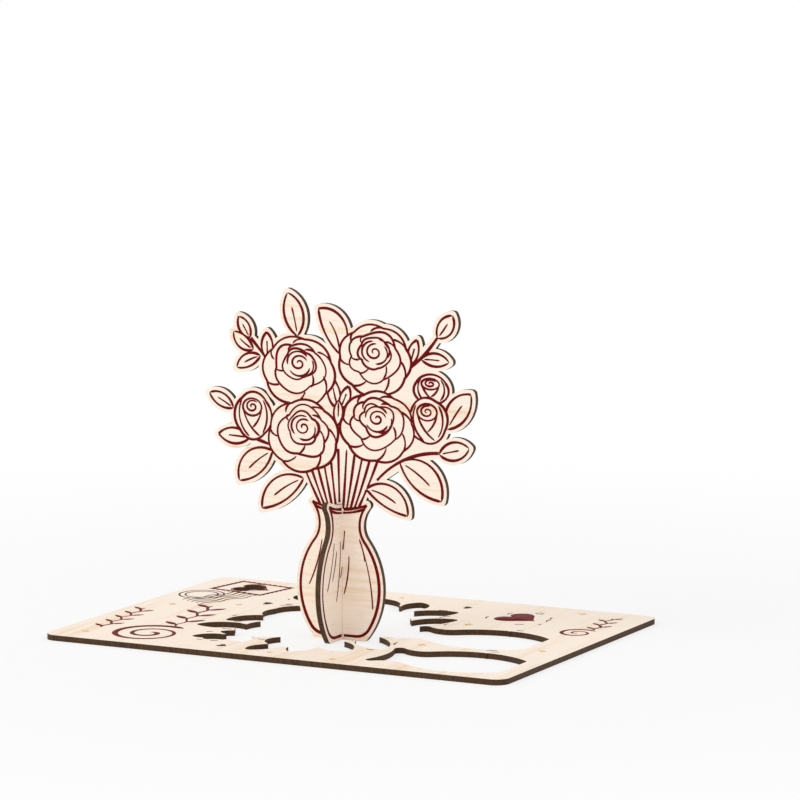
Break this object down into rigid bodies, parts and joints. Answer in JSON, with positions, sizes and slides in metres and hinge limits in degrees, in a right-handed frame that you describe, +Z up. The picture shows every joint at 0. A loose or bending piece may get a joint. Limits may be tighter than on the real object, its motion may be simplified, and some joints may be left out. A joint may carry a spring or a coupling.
{
  "type": "pop up card",
  "caption": "Laser-cut plywood greeting card lying open, its cut-out rose bouquet in a vase slotted together and standing up out of the sheet.",
  "frame": {"origin": "on the table, under the middle of the lying sheet", "axes": "+Z up; the sheet's long side along X with the drawing's top towards -X; the bouquet's printed face looks towards -Y"},
  "size_m": [0.1778, 0.127, 0.1217],
  "materials": {
    "plywood": "raw pale ply, sanded, with burnt brown laser-cut edges",
    "red_ink": "flat dark red printed ink",
    "dark_ink": "flat brown-black printed ink",
    "gold_ink": "flat golden yellow printed ink"
  },
  "bodies": {
    "root": {"card_sheet": "plywood", "card_red_print": "red_ink", "card_dark_print": "dark_ink", "card_gold_print": "gold_ink", "bouquet_panel": "plywood", "bouquet_print": "red_ink", "vase_panel": "plywood", "vase_print": "red_ink"}
  },
  "joints": []
}
